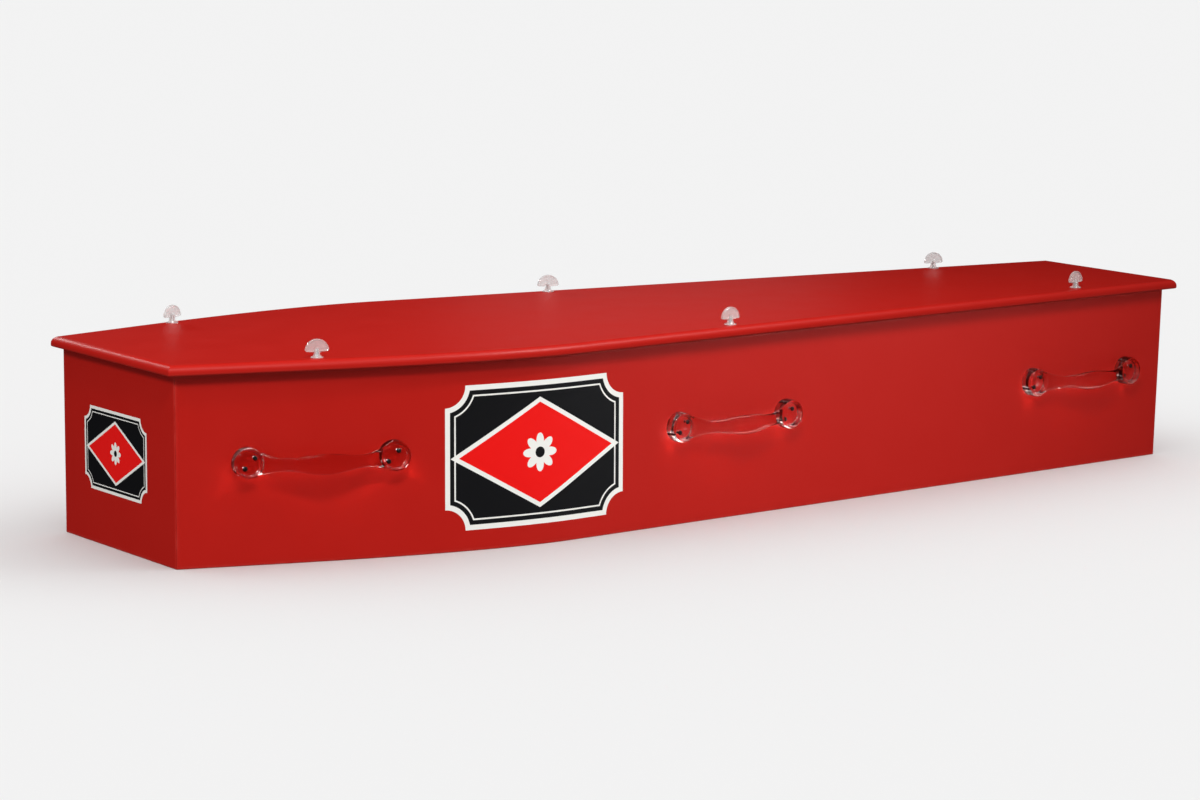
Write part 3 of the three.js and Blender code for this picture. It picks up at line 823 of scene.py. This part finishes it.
def fan_rings(radius, low, thick):
    """The two faces of a half-disc plate standing in the XZ plane, lower edges rising a little outwards."""
    corner_at, corner_z = radius - FAN_CORNER_IN, low + FAN_CORNER_UP
    points = [(-FAN_ROOT_HALF, low), (FAN_ROOT_HALF, low), (corner_at, corner_z)]
    for angle in np.radians(np.linspace(FAN_FROM_DEG, 180 - FAN_FROM_DEG, FAN_STEPS)):
        points.append((radius * math.cos(angle), FAN_CENTRE + radius * math.sin(angle)))
    points.append((-corner_at, corner_z))
    return [np.array([(x, y, z) for x, z in points]) for y in (-thick / 2, thick / 2)]


def lid_screw_mesh():
    """A rimmed fan with a thinner web, joined to a stem with a flared foot, and bored for the stud."""
    low = FAN_CENTRE - FAN_DROP
    rim = piece_from_rings("rim", fan_rings(FAN_R, low, FAN_RIM_THICK))
    field = piece_from_rings("field", fan_rings(FAN_R - FAN_RIM, low + FAN_RIM, FAN_RIM_THICK + FIELD_PAST))
    web = piece_from_rings("web", fan_rings(FAN_R - FAN_RIM / 2, low + FAN_RIM / 2, FAN_THICK))
    stem_profile = [(SCREW_FOOT_R, 0), (SCREW_FOOT_R, SCREW_FOOT_EDGE)]
    for turn in np.radians(np.linspace(FLARE_FROM_DEG, 90, FLARE_STEPS)):
        stem_profile.append((SCREW_STEM_R + (SCREW_FOOT_R - SCREW_STEM_R) * (1 - math.sin(turn)),
                             SCREW_STEM_FROM - (SCREW_STEM_FROM - SCREW_FOOT_EDGE) * math.cos(turn)))
    stem_profile += [(SCREW_STEM_R, SCREW_STEM_TO), (SCREW_TIP_R, SCREW_TIP)]
    stem = piece_from_rings("stem", turned_rings(stem_profile, STEM_SEGMENTS))
    bore_profile = [(STUD_R + GAP, BORE_FROM), (STUD_R + GAP, STUD_ABOVE + GAP)]
    bore = piece_from_rings("bore", turned_rings(bore_profile, BORE_SEGMENTS))
    tools = [(field, "DIFFERENCE"), (web, "UNION"), (stem, "UNION"), (bore, "DIFFERENCE")]
    return moulded("lid screw moulding", rim, tools, SCREW_VOXEL, SCREW_SMOOTHING)


def milky_plastic():
    """Translucent plastic, a little milky in its body, with faint flow ripple."""
    material = bpy.data.materials.new("milky moulded plastic")
    material.use_nodes = True
    tree = material.node_tree
    shader = tree.nodes["Principled BSDF"]
    shader.inputs["IOR"].default_value = 1.45
    shader.inputs["Transmission Weight"].default_value = 0.35
    shader.inputs["Alpha"].default_value = MILK_COVER
    ripple = add_node(tree, "ShaderNodeGroup", node_tree=ripple_group)
    ripple.inputs["Peel Scale"].default_value = 900.0
    ripple.inputs["Wave Scale"].default_value = 140.0
    ripple.inputs["Roughness"].default_value = 0.09
    ripple.inputs["Gloss Change"].default_value = 0.08
    colour = mix_colours(tree, ripple.outputs["Tone"], MILK_DARK, MILK_PALE)
    bump = add_node(tree, "ShaderNodeBump", {"Strength": 0.12, "Distance": 0.0002,
                                             "Height": ripple.outputs["Height"]})
    tree.links.new(colour, shader.inputs["Base Color"])
    tree.links.new(ripple.outputs["Roughness"], shader.inputs["Roughness"])
    tree.links.new(bump.outputs[0], shader.inputs["Normal"])
    return material


def lid_screw_frame(along, sign, turn):
    axes = side_frame(along, sign, AIM_HALF_SPAN)
    spot = axes @ Vector((0, 0, -BOARD / 2))
    return Matrix.Translation((spot.x, spot.y, LID_TOP + GAP)) @ Matrix.Rotation(math.radians(turn), 4, "Z")


screw_plastic = milky_plastic()
lid_screw_shape = lid_screw_mesh()
lid_screw_shape.materials.clear()
lid_screw_shape.materials.append(screw_plastic)
for side, sign in (("right", -1), ("left", 1)):
    for end, (along, turn) in LID_SCREW_PLACES[side].items():
        thumb = bpy.data.objects.new(f"thumb_screw_{side}_{end}", lid_screw_shape)
        bpy.context.scene.collection.objects.link(thumb)
        thumb.matrix_world = lid_screw_frame(along, sign, turn)
        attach(thumb, "root")
        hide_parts(f"lid_screw_{side}_{end}")


# Lid screw studs: zinc-plated steel studs with a rolled thread, moulded into the stems.
# They run down through the lid into the wall's upper edge.
THREAD_PITCH = 0.0012
THREAD_DEEP = 0.0004
THREAD_SAMPLES = 6
THREAD_SIDES = 24
THREAD_SHARP_DEG = 50
POINT_LENGTH = 0.004
POINT_SHARE = 0.4
ZINC = (0.48, 0.49, 0.50, 1)


def threaded_stud_mesh():
    """A stud swept upwards with a ridge that turns once a pitch, drawn in at its lower end."""
    low = WALL_HEIGHT - STUD_INTO_WALL - LID_TOP - GAP
    count = int((STUD_ABOVE - low) / THREAD_PITCH * THREAD_SAMPLES)
    angles = np.linspace(0, 2 * math.pi, THREAD_SIDES, endpoint=False)
    rings = []
    for z in np.linspace(low, STUD_ABOVE, count):
        phase = (z / THREAD_PITCH - angles / (2 * math.pi)) % 1
        ridge = np.abs(2 * phase - 1)
        taper = min(1.0, POINT_SHARE + (1 - POINT_SHARE) * (z - low) / POINT_LENGTH)
        radius = (STUD_R - THREAD_DEEP * ridge) * taper
        rings.append(np.column_stack([radius * np.cos(angles), radius * np.sin(angles),
                                      np.full(THREAD_SIDES, z)]))
    stud = piece_from_rings("stud", rings, sharp_deg=THREAD_SHARP_DEG)
    mesh = stud.data
    bpy.data.objects.remove(stud)
    return mesh


zinc_steel = plated_steel("zinc-plated steel", ZINC, 1.0, 0.35)
stud_shape = threaded_stud_mesh()
stud_shape.materials.append(zinc_steel)
for side, sign in (("right", -1), ("left", 1)):
    for end, (along, turn) in LID_SCREW_PLACES[side].items():
        stud = bpy.data.objects.new(f"threaded_stud_{side}_{end}", stud_shape)
        bpy.context.scene.collection.objects.link(stud)
        stud.matrix_world = lid_screw_frame(along, sign, turn)
        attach(stud, "root")
        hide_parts(f"lid_stud_{side}_{end}")


# Studio: a plain pale floor with no horizon in view, under a dome and a broad soft sun that light it alone,
# and softboxes that light the coffin alone, below a dim sky. Floor and sky are kept out of the gloss and out
# of what shows through the plastic, and the floor out of the light on the coffin, as dark flags would do.
FLOOR_HALF = 60.0
FLOOR_Z = -0.0002
FLOOR_TONE = (0.86, 0.86, 0.86, 1)
FLOOR_ROUGHNESS = 0.9
SKY_DOWN = 0.38
SKY_LOW = 0.26
SKY_HIGH = 0.45
DOME_STRENGTH = 1.70
DOME_SPREAD = math.radians(175)
SUN_FROM = (0.80, -0.22, 0.60)
SUN_STRENGTH = 0.42
SUN_SPREAD = math.radians(45)
CAMERA_AT = (-3.6160, -5.2782, 1.1160)
CAMERA_YAW = math.radians(56.3130)
CAMERA_PITCH = math.radians(8.5905)
CAMERA_ROLL = math.radians(0.1983)
CAMERA_LENS = 119.758

floor_corners = [(-FLOOR_HALF, -FLOOR_HALF, FLOOR_Z), (FLOOR_HALF, -FLOOR_HALF, FLOOR_Z),
                 (FLOOR_HALF, FLOOR_HALF, FLOOR_Z), (-FLOOR_HALF, FLOOR_HALF, FLOOR_Z)]
floor_mesh = bpy.data.meshes.new("floor")
floor_mesh.from_pydata(floor_corners, [], [(0, 1, 2, 3)])
floor = bpy.data.objects.new("floor", floor_mesh)
bpy.context.scene.collection.objects.link(floor)
floor.visible_glossy = False
floor.visible_transmission = False
floor.visible_diffuse = False
floor.visible_shadow = False
floor_paper = bpy.data.materials.new("pale floor")
floor_paper.use_nodes = True
floor_shader = floor_paper.node_tree.nodes["Principled BSDF"]
floor_shader.inputs["Base Color"].default_value = FLOOR_TONE
floor_shader.inputs["Roughness"].default_value = FLOOR_ROUGHNESS
floor_shader.inputs["Specular IOR Level"].default_value = 0.0
floor_tree = floor_paper.node_tree
floor_back = add_node(floor_tree, "ShaderNodeBsdfTransparent")
floor_face = add_node(floor_tree, "ShaderNodeNewGeometry").outputs["Backfacing"]
floor_mix = add_node(floor_tree, "ShaderNodeMixShader",
                     {0: floor_face, 1: floor_shader.outputs[0], 2: floor_back.outputs[0]})
floor_tree.links.new(floor_mix.outputs[0], floor_tree.nodes["Material Output"].inputs["Surface"])
floor_mesh.materials.append(floor_paper)
floor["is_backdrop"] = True

sky = bpy.data.worlds.new("studio sky")
sky.use_nodes = True
sky.cycles_visibility.glossy = False
sky.cycles_visibility.transmission = False
sky_tree = sky.node_tree
direction = add_node(sky_tree, "ShaderNodeTexCoord").outputs["Generated"]
height = add_node(sky_tree, "ShaderNodeSeparateXYZ", {0: direction}).outputs[2]
above = add_node(sky_tree, "ShaderNodeMapRange", {"Value": height, 1: 0.0, 2: 0.7, 3: SKY_LOW, 4: SKY_HIGH})
below = add_node(sky_tree, "ShaderNodeMapRange",
                 {"Value": height, 1: -0.05, 2: 0.0, 3: SKY_DOWN - SKY_LOW, 4: 0.0})
glow = maths(sky_tree, "ADD", above.outputs[0], below.outputs[0])
sky_tree.links.new(glow, sky_tree.nodes["Background"].inputs["Strength"])
sky_tree.nodes["Background"].inputs["Color"].default_value = (1, 1, 1, 1)
bpy.context.scene.world = sky


def hang(name, lamp, at, aim):
    """Puts a lamp in the studio, pointing at a place."""
    stand = bpy.data.objects.new(name, lamp)
    bpy.context.scene.collection.objects.link(stand)
    stand.location = at
    stand.rotation_euler = (Vector(aim) - Vector(at)).to_track_quat("-Z", "Y").to_euler()
    return stand


def light_set(name, members):
    """A collection that tells a lamp which objects it lights or is shaded by."""
    group = bpy.data.collections.new(name)
    for member in members:
        group.objects.link(member)
    return group


sun = bpy.data.lights.new("soft sun", "SUN")
sun.energy = SUN_STRENGTH
sun.angle = SUN_SPREAD
lit_floor = light_set("lit by the sun", [floor])
hang("soft sun", sun, SUN_FROM, (0, 0, 0)).light_linking.receiver_collection = lit_floor
dome = bpy.data.lights.new("dome", "SUN")
dome.energy = DOME_STRENGTH
dome.angle = DOME_SPREAD
hang("dome", dome, (0, 0, 1), (0, 0, 0)).light_linking.receiver_collection = lit_floor

pieces = list(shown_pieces())
lit_pieces = light_set("lit by softboxes", pieces)
below_lid = light_set("all but the lid", [piece for piece in pieces if piece.name != "painted_lid"])
boards = light_set("boards", [piece for piece in pieces if piece.name.startswith("painted_")])


def softbox(name, at, aim, size, watts, spread_deg, shaded_by=None, lights=lit_pieces):
    """An area lamp that lights chosen pieces, and is shaded by all pieces or by chosen ones."""
    lamp = bpy.data.lights.new(name, "AREA")
    lamp.shape = "RECTANGLE"
    lamp.size, lamp.size_y = size
    lamp.energy = watts
    lamp.spread = math.radians(spread_deg)
    linking = hang(name, lamp, at, aim).light_linking
    linking.receiver_collection = lights
    linking.blocker_collection = shaded_by


softbox("front softbox", (-1.6, -2.7, 3.1), (-0.2, -0.25, 0.16), (0.6, 0.6), 27.0, 110)
softbox("right softbox", (2.2, -2.5, 0.9), (0.16, -0.27, 0.20), (0.8, 0.6), 1.45, 36, boards, below_lid)
softbox("top softbox", (0.5, 0.2, 2.4), (0.05, 0.0, 0.30), (0.7, 0.7), 0.25, 34)
softbox("back softbox", (1.9, 2.8, 0.95), (0.15, 0.05, 0.30), (0.9, 0.5), 0.02, 40)
softbox("head softbox", (-3.1, -1.0, 2.2), (-0.95, -0.08, 0.15), (0.7, 0.7), 2.8, 40, boards)
softbox("edge softbox", (1.4, -1.7, 3.0), (-0.2, -0.28, 0.30), (0.4, 0.3), 8.0, 60, boards)
softbox("far softbox", (-0.6, 3.6, 1.3), (0.0, 0.27, 0.15), (0.8, 0.6), 5.0, 60)

lens = bpy.data.cameras.new("camera")
lens.sensor_width = 36.0
lens.sensor_fit = "HORIZONTAL"
lens.lens = CAMERA_LENS
lens.clip_end = 200.0
camera = bpy.data.objects.new("camera", lens)
bpy.context.scene.collection.objects.link(camera)
forward = Vector((math.cos(CAMERA_PITCH) * math.cos(CAMERA_YAW),
                  math.cos(CAMERA_PITCH) * math.sin(CAMERA_YAW), -math.sin(CAMERA_PITCH)))
level = Vector((math.sin(CAMERA_YAW), -math.cos(CAMERA_YAW), 0))
upright = level.cross(forward)
across = math.cos(CAMERA_ROLL) * level + math.sin(CAMERA_ROLL) * upright
upward = -math.sin(CAMERA_ROLL) * level + math.cos(CAMERA_ROLL) * upright
stance = Matrix((across, upward, -forward)).transposed().to_4x4()
stance.translation = Vector(CAMERA_AT)
camera.matrix_world = stance
bpy.context.scene.camera = camera
bpy.context.scene.view_settings.view_transform = "Standard"
